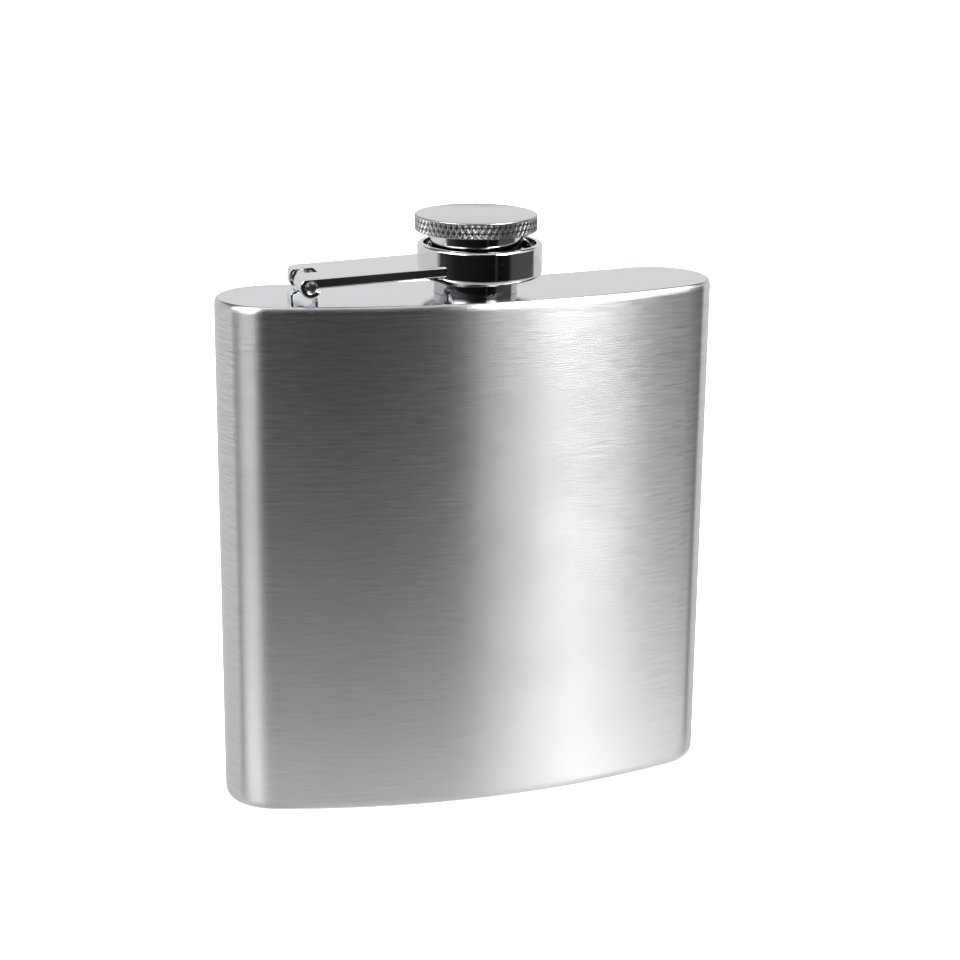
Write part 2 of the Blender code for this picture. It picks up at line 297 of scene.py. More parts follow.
def apply_modifiers(made):
    """Replaces an object's mesh by what its modifiers make of it."""
    bpy.context.view_layer.update()
    graph = bpy.context.evaluated_depsgraph_get()
    mesh = bpy.data.meshes.new_from_object(made.evaluated_get(graph))
    made.modifiers.clear()
    made.data = mesh
    return made


def boolean(made, operation, other):
    """Cuts another closed object out of this one or joins it on, and removes the other one."""
    modifier = made.modifiers.new(operation, "BOOLEAN")
    modifier.operation = operation
    modifier.solver = "MANIFOLD"
    modifier.object = other
    apply_modifiers(made)
    bpy.data.objects.remove(other, do_unlink=True)
    return made


def arc(centre, radius, start, end, steps):
    """Points from one angle to another, in degrees, with both ends included."""
    points = []
    for step in range(steps + 1):
        turn = math.radians(start + (end - start) * step / steps)
        x = centre[0] + radius * math.cos(turn)
        points.append((x, centre[1] + radius * math.sin(turn)))
    return points


def rounded(profile, corners, radius, steps=4):
    """Replaces the numbered corners of a closed chain of points by arcs of a radius."""
    made = []
    for index, point in enumerate(profile):
        if index not in corners:
            made.append(point)
            continue
        here = Vector(point)
        before = (Vector(profile[index - 1]) - here).normalized()
        after = (Vector(profile[(index + 1) % len(profile)]) - here).normalized()
        half = before.angle(after) / 2
        start = here + before * radius / math.tan(half)
        end = here + after * radius / math.tan(half)
        middle = here + (before + after).normalized() * radius / math.sin(half)
        for step in range(steps + 1):
            spoke = (start - middle).normalized().slerp((end - middle).normalized(), step / steps)
            made.append(tuple(middle + spoke * radius))
    return made


# ---------------------------------------------------------------- body


def end_circle():
    """(radius, x, y) of the full-round end that touches the front, the back and the side."""
    front_y = FRONT_RADIUS - BODY_THICKNESS / 2
    back_y = BACK_RADIUS + BODY_THICKNESS / 2
    low, high = 1.0, BODY_THICKNESS / 2
    for _ in range(60):
        radius = (low + high) / 2
        x = BODY_HALF_WIDTH - radius
        on_front = front_y - math.sqrt((FRONT_RADIUS - radius) ** 2 - x**2)
        on_back = back_y - math.sqrt((BACK_RADIUS + radius) ** 2 - x**2)
        if on_front > on_back:
            high = radius
        else:
            low = radius
    return radius, x, on_front


END_RADIUS, END_X, END_Y = end_circle()


def footprint(inset, end_steps=36, face_steps=96):
    """The body's outline seen from above, anticlockwise, moved inwards by inset."""
    front = (0.0, FRONT_RADIUS - BODY_THICKNESS / 2)
    back = (0.0, BACK_RADIUS + BODY_THICKNESS / 2)
    end = (END_X, END_Y)
    front_touch = math.degrees(math.atan2(END_Y - front[1], END_X))
    back_touch = math.degrees(math.atan2(back[1] - END_Y, -END_X))
    right = arc(end, END_RADIUS - inset, front_touch, back_touch, 2 * end_steps)
    rear = arc(back, BACK_RADIUS + inset, back_touch - 180, -back_touch, face_steps)
    left = [(-x, y) for x, y in reversed(right)]
    face = arc(front, FRONT_RADIUS - inset, -180 - front_touch, front_touch, face_steps)
    outline = right + rear[1:-1] + left + face[1:-1]
    return [(x, y + MIDDLE_Y) for x, y in outline]


def footprint_rings(profile):
    """Carries (inset, height) points round the body's outline."""
    return [[(x, y, height) for x, y in footprint(inset)] for inset, height in profile]


def shell_piece():
    """The wrapped tube with its rims rolled over inwards."""
    top = PLATE_TOP
    rim = [(RIM_ROUND + RIM_ROUND * x, RIM_DROP * z) for x, z in arc((0, 0), 1.0, 180, 90, 10)]
    profile = [(inset, RIM_DROP - rise) for inset, rise in reversed(rim)]
    profile += [(inset, top - RIM_DROP + rise) for inset, rise in rim]
    profile += [(SHELL_WALL, top - RIM_ROUND / 2), (SHELL_WALL, RIM_ROUND / 2)]
    return weighted(sweep("shell", footprint_rings(profile), closed=True))


def plate_piece(name, low, high, edge_up):
    """An end plate whose outer edge is eased over on the side that shows."""
    inner = PLATE_INSET + PLATE_EDGE
    if edge_up:
        edge = arc((inner, high - PLATE_EDGE), PLATE_EDGE, 180, 90, 5)
        profile = [(PLATE_INSET, low)] + edge
    else:
        edge = arc((inner, low + PLATE_EDGE), PLATE_EDGE, 270, 180, 5)
        profile = edge + [(PLATE_INSET, high)]
    return sweep(name, footprint_rings(profile), closed=False, capped=True)


def bottom_plate_piece():
    """The plate that closes the shell underneath."""
    low, high = box_mm("bottom_plate")
    return weighted(plate_piece("plate_bottom", low.z, high.z, edge_up=False))


def top_plate_piece():
    """The plate inside the top rim, with the hole for the neck."""
    low, high = box_mm("top_plate")
    made = plate_piece("plate_top", low.z, high.z, edge_up=True)
    start, end = low.z - PLATE_TOP - CLEAR, high.z - PLATE_TOP + CLEAR
    hole = [(0.0, start), (NECK_HOLE_RADIUS, start), (NECK_HOLE_RADIUS, end), (0.0, end)]
    cutter = lathe("hole", hole, (CAP_AXIS.x, CAP_AXIS.y, PLATE_TOP))
    return weighted(recalculate(boolean(made, "DIFFERENCE", cutter)))


# ---------------------------------------------------------------- neck and cap


def thread(minor, major, start, end):
    """A function of (radius, height, turn) that winds a thread of THREAD_PITCH round a wall.

    The thread fades out at both ends.
    """

    def shape(radius, height, turn):
        if not start < height < end:
            return radius
        phase = height / THREAD_PITCH - turn / math.tau
        wave = abs(2 * (phase % 1) - 1)
        tooth = min(max((wave - 0.25) / 0.5, 0.0), 1.0)
        fade = min(height - start, end - height, THREAD_FADE) / THREAD_FADE
        return minor + (major - minor) * tooth * fade

    return shape


def wall(radius, start, end):
    """Points up a straight wall, near enough together for a thread or a knurl."""
    count = round((end - start) / THREAD_SPACING)
    return [(radius, start + (end - start) * step / count) for step in range(count + 1)]


def neck_piece():
    """The spout: a flange under the plate, a plain collar and a right-handed thread."""
    low, high = box_mm("neck")
    bottom, top = low.z - PLATE_TOP, high.z - PLATE_TOP
    profile = [
        (NECK_BORE, bottom),
        (NECK_FLANGE_RADIUS, bottom),
        (NECK_FLANGE_RADIUS, bottom + NECK_FLANGE_THICKNESS),
        (NECK_SPIGOT_RADIUS, bottom + NECK_FLANGE_THICKNESS),
        (NECK_SPIGOT_RADIUS, JOINT_GAP),
        (NECK_COLLAR_RADIUS, JOINT_GAP),
    ]
    edge = (NECK_COLLAR_RADIUS - NECK_COLLAR_EDGE, NECK_COLLAR_TOP - NECK_COLLAR_EDGE)
    profile += arc(edge, NECK_COLLAR_EDGE, 0, 90, 4)
    profile += [(THREAD_MINOR, THREAD_START - 0.1)]
    profile += wall(THREAD_MINOR, THREAD_START + 0.1, top - 0.45)
    profile += [(THREAD_MINOR - 0.1, top - 0.15), (THREAD_MINOR - 0.25, top)]
    profile += [(NECK_BORE + NECK_LIP, top), (NECK_BORE, top - NECK_LIP)]
    shape = thread(THREAD_MINOR, THREAD_MAJOR, THREAD_START, top - 0.4)
    centre = (CAP_AXIS.x, CAP_AXIS.y, PLATE_TOP)
    return lathe("spout", profile, centre, 144, shape)


def knurl(radius, height, turn):
    """The radius of the head's side, pressed in between crossing ridges."""
    if radius < HEAD_RADIUS - 1e-6:
        return radius
    across = KNURL_COUNT * turn / math.tau
    up = height / (2 * KNURL_ROW)
    one = abs(2 * ((across + up) % 1) - 1)
    two = abs(2 * ((across - up) % 1) - 1)
    return HEAD_RADIUS - KNURL_DEPTH * math.sin(min(one, two) * math.pi / 2)


def head_piece():
    """The knurled disc, with the recess underneath that takes the sleeve."""
    low, high = box_mm("cap_head")
    thick = high.z - low.z
    recess = SLEEVE_RADIUS + PRESS_GAP
    rim = HEAD_RADIUS - KNURL_STEP
    profile = [(0.0, HEAD_RECESS), (recess, HEAD_RECESS), (recess, 0.0), (rim - 0.16, 0.0)]
    profile += [(rim, 0.14), (rim, 0.2)]
    profile += wall(HEAD_RADIUS, 0.24, thick - 0.34)
    profile += [(rim, thick - 0.3)]
    profile += arc((rim - HEAD_ROUND, thick - HEAD_ROUND), HEAD_ROUND, 0, 90, 4)
    profile += [(0.0, thick)]
    made = lathe("head", profile, (CAP_AXIS.x, CAP_AXIS.y, low.z), KNURL_COUNT * 8, knurl)
    made.data.set_sharp_from_angle(angle=math.radians(HEAD_SHARP_ANGLE))
    return made


def sleeve_piece():
    """The threaded cup under the head, with a flange swaged out at its open end."""
    low, high = box_mm("cap_sleeve")
    end, top = low.z - PLATE_TOP, high.z - PLATE_TOP
    fillet_z = end + SLEEVE_FLANGE_THICKNESS + SLEEVE_FILLET
    half = SLEEVE_FLANGE_THICKNESS / 2
    seat = SLEEVE_CEILING - 1.2
    profile = [(0.0, top), (SLEEVE_RADIUS, top), (SLEEVE_RADIUS, fillet_z)]
    profile += arc((SLEEVE_RADIUS + SLEEVE_FILLET, fillet_z), SLEEVE_FILLET, 180, 270, 3)[1:]
    profile += arc((SLEEVE_FLANGE_RADIUS - 0.2, end + half), half, 60, -60, 5)
    profile += [(SLEEVE_FLANGE_RADIUS - 0.3, end), (SLEEVE_ROOT, end)]
    profile += wall(SLEEVE_ROOT, end + 0.1, seat - 0.1)
    profile += [(SLEEVE_CREST, seat), (SLEEVE_CREST, SLEEVE_CEILING), (0.0, SLEEVE_CEILING)]
    shape = thread(SLEEVE_ROOT, SLEEVE_CREST, end + 0.15, seat - 0.15)

    def inside_only(radius, height, turn):
        return shape(radius, height, turn) if radius == SLEEVE_ROOT else radius

    centre = (CAP_AXIS.x, CAP_AXIS.y, PLATE_TOP)
    return weighted(lathe("sleeve", profile, centre, 144, inside_only))


def ring_piece(name, node, bore, radius, edge):
    """A flat ring or disc with eased corners, as tall as its CAD node."""
    low, high = box_mm(node)
    thick = high.z - low.z
    if bore:
        profile = [(bore, 0.0), (radius, 0.0), (radius, thick), (bore, thick)]
        profile = rounded(profile, (0, 1, 2, 3), edge)
    else:
        profile = [(0.0, 0.0)] + arc((radius - edge, edge), edge, 270, 360, 4)
        profile += arc((radius - edge, thick - edge), edge, 0, 90, 4) + [(0.0, thick)]
    return weighted(lathe(name, profile, (CAP_AXIS.x, CAP_AXIS.y, low.z)))


# ---------------------------------------------------------------- arm and hinge


def strip_outline(length):
    """The arm's strip and its curled knuckle, as (x, z) points counted from the pin's axis."""
    top_left = math.degrees(math.asin(ARM_TOP_AT_PIN / KNUCKLE_RADIUS))
    underside = ARM_TOP_AT_PIN - ARM_THICKNESS
    mouth = math.degrees(math.asin(underside / KNUCKLE_BORE))
    outline = [(length, ARM_TOP_AT_PIN + ARM_SLOPE * length)]
    outline += arc((0, 0), KNUCKLE_RADIUS, 180 - top_left, KNUCKLE_END, 36)
    outline += arc((0, 0), KNUCKLE_BORE, KNUCKLE_END, mouth, 32)
    outline.append((length, underside + ARM_SLOPE * length))
    return outline


def from_hinge(points):
    """Moves (x, z) points counted from the pin's axis to their place."""
    return [(x + HINGE.x, z + HINGE.z) for x, z in points]


def collar_profile(low, high):
    """The collar: a wall with rounded outer edges and a web part of the way up."""
    inside = [
        (COLLAR_RADIUS, high),
        (COLLAR_BORE, high),
        (COLLAR_BORE, WEB_TOP),
        (WEB_RADIUS, WEB_TOP),
        (WEB_RADIUS, WEB_BOTTOM),
        (COLLAR_BORE, WEB_BOTTOM),
        (COLLAR_BORE, low),
        (COLLAR_RADIUS, low),
    ]
    eased = rounded(inside, (1, 3, 4, 6), COLLAR_EDGE, 3)[1:-1]
    upper = (COLLAR_RADIUS - COLLAR_TOP_ROUND, high - COLLAR_TOP_ROUND)
    lower = (COLLAR_RADIUS - COLLAR_ROUND, low + COLLAR_ROUND)
    outer = arc(lower, COLLAR_ROUND, 270, 360, 10) + arc(upper, COLLAR_TOP_ROUND, 0, 90, 8)
    return outer + eased


def arm_corner():
    """What lies outside the round of the strip's back corner at the knuckle."""
    middle = (ARM_CORNER - KNUCKLE_RADIUS, ARM_BACK - ARM_CORNER)
    left, back = -KNUCKLE_RADIUS - CLEAR, ARM_BACK + CLEAR
    outline = arc(middle, ARM_CORNER, 90, 180, 12)
    outline += [(left, middle[1]), (left, back), (middle[0], back)]
    outline = [(x + HINGE.x, y + MIDDLE_Y) for x, y in outline]
    reach = KNUCKLE_RADIUS + CLEAR
    rings = [[(x, y, HINGE.z + rise) for x, y in outline] for rise in (-reach, reach)]
    return sweep("corner", rings, closed=False, capped=True)


def arm_piece():
    """The strip, its knuckle and the collar in one, slotted for the bracket's eye."""
    to_collar = COLLAR_OFFSET - HINGE.x
    end = to_collar - math.sqrt(COLLAR_BORE**2 - ARM_FRONT**2) - ARM_END_GAP
    made = eased_prism("arm", from_hinge(strip_outline(end)), ARM_FRONT, ARM_BACK, ARM_EDGE)
    boolean(made, "DIFFERENCE", arm_corner())
    centre = (COLLAR_OFFSET, MIDDLE_Y, HINGE.z)
    inside = (COLLAR_BORE + COLLAR_RADIUS) / 2
    tall = COLLAR_TOP
    tube = [(0.0, -tall), (inside, -tall), (inside, tall), (0.0, tall)]
    boolean(made, "DIFFERENCE", lathe("hollow", tube, centre))
    profile = collar_profile(COLLAR_BOTTOM, COLLAR_TOP)
    collar = lathe("collar", profile, (COLLAR_OFFSET, MIDDLE_Y, PLATE_TOP), 192)
    boolean(made, "UNION", collar)
    reach = KNUCKLE_RADIUS + CLEAR
    slot = [(-reach, -reach), (SLOT_REACH, -reach), (SLOT_REACH, reach), (-reach, reach)]
    slot = prism("slot", from_hinge(slot), -SLOT_HALF_WIDTH, SLOT_HALF_WIDTH)
    boolean(made, "DIFFERENCE", slot)
    return weighted(recalculate(made, 30.0))


def pin_piece():
    """The pin, with its two ends chamfered."""
    low, high = box_mm("hinge_pin")
    start, end = HINGE.y - high.y, HINGE.y - low.y
    radius = (high.x - low.x) / 2
    tip = radius - PIN_CHAMFER
    profile = [(0.0, start), (tip, start), (radius, start + PIN_CHAMFER)]
    profile += [(radius, end - PIN_CHAMFER), (tip, end), (0.0, end)]
    made = lathe("pin", profile, (0.0, 0.0, 0.0), 64)
    place = Matrix.Translation(HINGE * MM) @ Matrix.Rotation(math.pi / 2, 4, "X")
    made.data.transform(place)
    return weighted(made)


def bracket_outline():
    """The bracket's strap from one foot, round the pin, to the other foot."""
    foot = PLATE_TOP + JOINT_GAP - HINGE.z
    bend = (-BRACKET_FOOT_X + BRACKET_BEND, BRACKET_SHOULDER)
    left = [(-BRACKET_FOOT_X, foot), (-BRACKET_FOOT_X, BRACKET_SHOULDER)]
    left += arc(bend, BRACKET_BEND, 180, 105, 4)[1:]
    left.append(BRACKET_WAIST)
    eye = arc((0, 0), EYE_BORE + BRACKET_THICKNESS / 2, EYE_START, EYE_END, 40)
    line = left + eye + [(-x, z) for x, z in reversed(left)]
    sides = ([], [])
    for index, (x, z) in enumerate(line):
        before = line[max(index - 1, 0)]
        after = line[min(index + 1, len(line) - 1)]
        along = (after[0] - before[0], after[1] - before[1])
        size = math.hypot(*along)
        across = BRACKET_THICKNESS / 2 / size
        sides[0].append((x - along[1] * across, z + along[0] * across))
        sides[1].append((x + along[1] * across, z - along[0] * across))
    return sides[0] + sides[1][::-1]


def bracket_piece():
    """The bent strap, as wide as its CAD node."""
    low, high = box_mm("hinge_bracket")
    half = (high.y - low.y) / 2
    outline = from_hinge(bracket_outline())
    return weighted(eased_prism("bracket", outline, -half, half, BRACKET_EDGE))


# ---------------------------------------------------------------- materials


# Colours are linear. Noise scales are repeats to a metre, or to a metre of surface for the
# brushing, which runs along the first coordinate.
BRUSHED_COLOR = (0.66, 0.655, 0.66)
FINE_STREAKS = (300.0, 5200.0, 1.0)
BROAD_STREAKS = (120.0, 1900.0, 1.0)
STREAK_STRENGTH = 0.18
SCRATCHES = (170.0, 3600.0, 1.0)
SCRATCH_TURN = 3.0
SCRATCH_STRENGTH = 0.16
SMUDGES = (30.0, 45.0, 1.0)
FADE_HEIGHTS = (0.015, 0.08)  # the streaks are weak below the first and full above the second
PLATE_COLOR = (0.745, 0.765, 0.80)
BRIGHT_COLOR = (0.78, 0.775, 0.78)
PIN_COLOR = (0.34, 0.34, 0.35)
# painted shade: the neck is coloured darker all over, for the shade under the collar
NECK_SHADED_COLOR = (0.52, 0.51, 0.52)
HAZE = (90.0, 90.0, 90.0)
HAZE_STRENGTH = 0.02
HAIRLINES = (150.0, 5200.0, 900.0)
HAIRLINE_TURNS = (12.0, -48.0)
HAIRLINE_STRENGTH = 0.05
KNURL_COLOR = (0.74, 0.72, 0.73)
KNURL_PIT_SHADE = 0.10  # painted shade: brightness at the bottom of the knurl and on its ridges, with flat faces at 1
KNURL_RIDGE_SHADE = 0.85
SEAL_COLOR = (0.80, 0.79, 0.74)
SEAL_MOTTLE = (400.0, 400.0, 400.0)

# Sockets of a colour Mix node, by number because its names repeat.
MIX_FACTOR, MIX_ONE, MIX_TWO, MIX_RESULT = 0, 6, 7, 2


def start_material(name, color, roughness, metallic=1.0):
    """A new material with its node tree and its shader."""
    made = bpy.data.materials.new(name)
    made.use_nodes = True
    shader = made.node_tree.nodes["Principled BSDF"]
    shader.inputs["Base Color"].default_value = (*color, 1.0)
    shader.inputs["Roughness"].default_value = roughness
    shader.inputs["Metallic"].default_value = metallic
    return made, made.node_tree, shader


def add(tree, kind, settings=None, **values):
    """A new node, with its settings and the default values of its inputs."""
    node = tree.nodes.new(kind)
    for key, value in (settings or {}).items():
        setattr(node, key, value)
    for key, value in values.items():
        node.inputs[key.replace("_", " ")].default_value = value
    return node


def feed(tree, socket, value):
    """Links a socket into an input, or sets the input if the value is a number or a tuple."""
    if isinstance(value, bpy.types.NodeSocket):
        tree.links.new(value, socket)
    else:
        socket.default_value = value


def stretched_noise(tree, source, scale, turn=0.0, detail=3.0):
    """Noise on scaled and turned coordinates, as the socket of its value."""
    mapping = add(tree, "ShaderNodeMapping")
    mapping.inputs["Rotation"].default_value = (0.0, 0.0, math.radians(turn))
    mapping.inputs["Scale"].default_value = scale
    tree.links.new(source, mapping.inputs["Vector"])
    noise = add(tree, "ShaderNodeTexNoise", Scale=1.0, Detail=detail, Roughness=0.6)
    tree.links.new(mapping.outputs["Vector"], noise.inputs["Vector"])
    return noise.outputs["Fac"]


def spread(tree, source, low, high, from_low=0.0, from_high=1.0):
    """Maps a range of a value to another range, as a socket."""
    node = add(tree, "ShaderNodeMapRange")
    node.inputs["From Min"].default_value = from_low
    node.inputs["From Max"].default_value = from_high
    node.inputs["To Min"].default_value = low
    node.inputs["To Max"].default_value = high
    tree.links.new(source, node.inputs["Value"])
    return node.outputs["Result"]


def combine(tree, operation, one, two=0.0):
    """Maths on two values, each a number or a socket, as a socket."""
    node = add(tree, "ShaderNodeMath", {"operation": operation})
    feed(tree, node.inputs[0], one)
    feed(tree, node.inputs[1], two)
    return node.outputs["Value"]


def combine_vectors(tree, operation, one, two):
    """Maths on two vectors, each a tuple or a socket, as a socket."""
    node = add(tree, "ShaderNodeVectorMath", {"operation": operation})
    feed(tree, node.inputs[0], one)
    feed(tree, node.inputs[1], two)
    return node.outputs["Vector"]


def scaled(tree, vector, scale):
    """A vector or colour multiplied by a number or a socket, as a socket."""
    node = add(tree, "ShaderNodeVectorMath", {"operation": "SCALE"})
    feed(tree, node.inputs["Vector"], vector)
    feed(tree, node.inputs["Scale"], scale)
    return node.outputs["Vector"]


def axes(tree, vector):
    """The X, Y and Z of a vector, as three sockets."""
    node = add(tree, "ShaderNodeSeparateXYZ")
    tree.links.new(vector, node.inputs["Vector"])
    return node.outputs


def coordinates(tree, kind="Object"):
    """A kind of texture coordinates, as a socket."""
    return add(tree, "ShaderNodeTexCoord").outputs[kind]


def tint(tree, factor, color):
    """A colour multiplied by a value, as a socket."""
    node = add(tree, "ShaderNodeMix", {"data_type": "RGBA", "blend_type": "MULTIPLY"})
    feed(tree, node.inputs[MIX_FACTOR], 1.0)
    feed(tree, node.inputs[MIX_ONE], (*color, 1.0))
    feed(tree, node.inputs[MIX_TWO], factor)
    return node.outputs[MIX_RESULT]


def bump(tree, shader, height, strength, distance):
    """Tilts a shader's normals by a height."""
    node = add(tree, "ShaderNodeBump", Strength=strength, Distance=distance)
    tree.links.new(height, node.inputs["Height"])
    tree.links.new(node.outputs["Normal"], shader.inputs["Normal"])


def brushed_steel():
    """Brushing that runs round the body, with a few slanting scratches.

    The streaks get weaker towards the bottom.
    """
    made, tree, shader = start_material("brushed_steel", BRUSHED_COLOR, 0.25)
    shader.inputs["Anisotropic"].default_value = 1.0
    shader.inputs["Anisotropic Rotation"].default_value = 0.25
    tangent = add(tree, "ShaderNodeTangent", {"direction_type": "RADIAL", "axis": "Z"})
    tree.links.new(tangent.outputs["Tangent"], shader.inputs["Tangent"])

    place = add(tree, "ShaderNodeUVMap", {"uv_map": "surface"}).outputs["UV"]
    fine = stretched_noise(tree, place, FINE_STREAKS, detail=2.0)
    broad = stretched_noise(tree, place, BROAD_STREAKS, detail=3.0)
    slanted = stretched_noise(tree, place, SCRATCHES, turn=SCRATCH_TURN, detail=1.0)
    smudged = stretched_noise(tree, place, SMUDGES, detail=2.0)

    fine_part = spread(tree, fine, -STREAK_STRENGTH, STREAK_STRENGTH)
    broad_part = spread(tree, broad, -STREAK_STRENGTH, STREAK_STRENGTH)
    scratch = spread(tree, slanted, 0.0, SCRATCH_STRENGTH, 0.62, 0.72)
    streaks = combine(tree, "ADD", fine_part, broad_part)
    streaks = combine(tree, "SUBTRACT", streaks, scratch)
    fade = spread(tree, axes(tree, coordinates(tree))["Z"], 0.4, 1.0, *FADE_HEIGHTS)
    shade = combine(tree, "ADD", combine(tree, "MULTIPLY", streaks, fade), 1.0)
    tree.links.new(tint(tree, shade, BRUSHED_COLOR), shader.inputs["Base Color"])

    rough = spread(tree, smudged, 0.23, 0.27)
    rough = combine(tree, "ADD", rough, spread(tree, fine, -0.02, 0.02))
    tree.links.new(rough, shader.inputs["Roughness"])
    height = combine(tree, "ADD", fine, combine(tree, "MULTIPLY", slanted, 0.5))
    bump(tree, shader, height, 0.15, 0.00002)
    return made


def polished_steel(name, color, roughness):
    """Polished metal with a faint haze and hair-fine scratches in two directions."""
    made, tree, shader = start_material(name, color, roughness)
    place = coordinates(tree)
    haze = stretched_noise(tree, place, HAZE, detail=3.0)
    one, two = [
        stretched_noise(tree, place, HAIRLINES, turn=turn, detail=1.0) for turn in HAIRLINE_TURNS
    ]
    hair = spread(tree, combine(tree, "MAXIMUM", one, two), 0.0, 1.0, 0.66, 0.78)

    rough = spread(tree, haze, roughness * 0.7, roughness * 1.4)
    rough = combine(tree, "ADD", rough, combine(tree, "MULTIPLY", hair, 0.10))
    tree.links.new(rough, shader.inputs["Roughness"])
    shade = spread(tree, haze, 1.0 - HAZE_STRENGTH, 1.0 + HAZE_STRENGTH)
    dark = combine(tree, "MULTIPLY", hair, HAIRLINE_STRENGTH)
    shade = combine(tree, "SUBTRACT", shade, dark)
    tree.links.new(tint(tree, shade, color), shader.inputs["Base Color"])
    return made


def knurled_steel():
    """Bright steel that gets rougher down in the knurl, with painted shade that darkens its colour
    there.

    The distance from the cap's axis tells the pits from the ridges, and the flat faces are
    told from the side by their normal.
    """
    made = polished_steel("knurled_steel", KNURL_COLOR, 0.27)
    tree = made.node_tree
    shader = tree.nodes["Principled BSDF"]
    spoke = combine_vectors(tree, "SUBTRACT", coordinates(tree), tuple(CAP_AXIS * MM))
    spoke = combine_vectors(tree, "MULTIPLY", spoke, (1.0, 1.0, 0.0))
    length = add(tree, "ShaderNodeVectorMath", {"operation": "LENGTH"})
    tree.links.new(spoke, length.inputs[0])
    pit, ridge = (HEAD_RADIUS - KNURL_DEPTH) * MM, HEAD_RADIUS * MM
    knurled = spread(tree, length.outputs["Value"], KNURL_PIT_SHADE, KNURL_RIDGE_SHADE, pit, ridge)
    upright = combine(tree, "ABSOLUTE", axes(tree, coordinates(tree, "Normal"))["Z"])
    flat = spread(tree, upright, 0.0, 1.0, 0.85, 0.97)
    # painted shade: the colour is darkened down in the knurl's grooves and on its sloping sides,
    # and the flat faces keep it whole
    painted_shade = combine(tree, "MAXIMUM", knurled, flat)
    tree.links.new(spread(tree, flat, 0.27, 0.13), shader.inputs["Roughness"])
    polished = shader.inputs["Base Color"].links[0].from_socket
    tree.links.new(scaled(tree, polished, painted_shade), shader.inputs["Base Color"])
    return made


def seal_plastic():
    """Off-white plastic, a little yellowed and uneven."""
    made, tree, shader = start_material("seal_plastic", SEAL_COLOR, 0.5, 0.0)
    mottle = stretched_noise(tree, coordinates(tree), SEAL_MOTTLE, detail=4.0)
    shade = spread(tree, mottle, 0.86, 1.0)
    tree.links.new(tint(tree, shade, SEAL_COLOR), shader.inputs["Base Color"])
    tree.links.new(spread(tree, mottle, 0.4, 0.62), shader.inputs["Roughness"])
    bump(tree, shader, mottle, 0.2, 0.0001)
    return made


# ---------------------------------------------------------------- studio


def ramp(tree, source, stops):
    """A ramp of (position, grey level) stops, as a socket."""
    node = add(tree, "ShaderNodeValToRGB")
    node.color_ramp.interpolation = "LINEAR"
    elements = node.color_ramp.elements
    elements[0].position, elements[1].position = stops[0][0], stops[-1][0]
    for position, _ in stops[1:-1]:
        elements.new(position)
    for element, (_, level) in zip(elements, stops):
        element.color = (level, level, level, 1.0)
    tree.links.new(source, node.inputs["Fac"])
    return node.outputs["Color"]


def blend(tree, factor, one, two):
    """Goes from one colour to another with a factor, as a socket."""
    node = add(tree, "ShaderNodeMix", {"data_type": "RGBA"})
    feed(tree, node.inputs[MIX_FACTOR], factor)
    feed(tree, node.inputs[MIX_ONE], one)
    feed(tree, node.inputs[MIX_TWO], two)
    return node.outputs[MIX_RESULT]


# The studio's brightness. Strips go by a direction's X component, and the other areas by
# azimuth or elevation in degrees. Azimuth 0 is in front of the flask, and turns towards +X.
# An extent says how far an area covers the ones before it.
WHITE = (1.0, 1.0, 1.0, 1.0)
UPPER_SCALE = 19.5
UPPER_STRIPS = [
    (-1.0, 0.40),
    (-0.74, 0.42),
    (-0.66, 0.24),
    (-0.58, 0.07),
    (-0.46, 0.015),
    (-0.36, 0.004),
    (-0.30, 0.016),
    (-0.23, 0.002),
    (-0.08, 0.003),
    (0.0, 0.008),
    (0.06, 0.004),
    (0.13, 0.002),
    (0.21, 0.01),
    (0.245, 0.02),
    (0.255, 0.32),
    (0.32, 0.42),
    (0.39, 0.60),
    (0.455, 0.98),
    (0.52, 1.0),
    (0.57, 0.84),
    (0.635, 0.54),
    (0.675, 0.10),
    (0.71, 0.045),
    (1.0, 0.06),
]
UPPER_EXTENT = [(-90, 0.0), (15, 0.0), (19, 1.0), (90, 1.0)]
LOWER_STRIPS = [
    (-1.0, 0.60),
    (-0.80, 0.60),
    (-0.66, 0.20),
    (-0.50, 0.05),
    (-0.30, 0.0),
    (-0.05, 0.0),
    (0.10, 0.05),
    (0.25, 0.06),
    (0.45, 0.12),
    (0.55, 0.20),
    (0.68, 0.50),
    (1.0, 0.56),
]
LOWER_EXTENT = [(-90, 1.0), (-20, 1.0), (-17, 0.0), (90, 0.0)]
LEVEL_BAND = [
    (-180, 0.75),
    (-104, 0.75),
    (-92, 0.05),
    (-60, 0.012),
    (10, 0.004),
    (14, 0.03),
    (18, 0.004),
    (38, 0.01),
    (46, 0.075),
    (98, 0.085),
    (106, 0.75),
    (180, 0.75),
]
EDGE_SHADOW = [(-180, 0.5), (-87, 0.5), (-79, 1.0), (180, 1.0)]
CEILING_EXTENT = [(-90, 0.0), (46, 0.0), (58, 1.0), (90, 1.0)]
BACK_BY_HEIGHT = [
    (-90, 0.75),
    (-1, 0.75),
    (18, 0.80),
    (24, 0.76),
    (30, 0.15),
    (48, 0.15),
    (58, 1.0),
    (90, 1.0),
]
BACK_EXTENT = [(-180, 1.0), (-108, 1.0), (-98, 0.0), (98, 0.0), (108, 1.0), (180, 1.0)]


def turns(stops):
    """Azimuth stops in degrees as ramp positions."""
    return [((angle + 180.0) / 360.0, level) for angle, level in stops]


def sideways(stops):
    """Stops by a direction's X component as ramp positions."""
    return [((value + 1.0) / 2.0, level) for value, level in stops]


def heights(stops):
    """Elevation stops in degrees as ramp positions."""
    return [((angle + 90.0) / 180.0, level) for angle, level in stops]


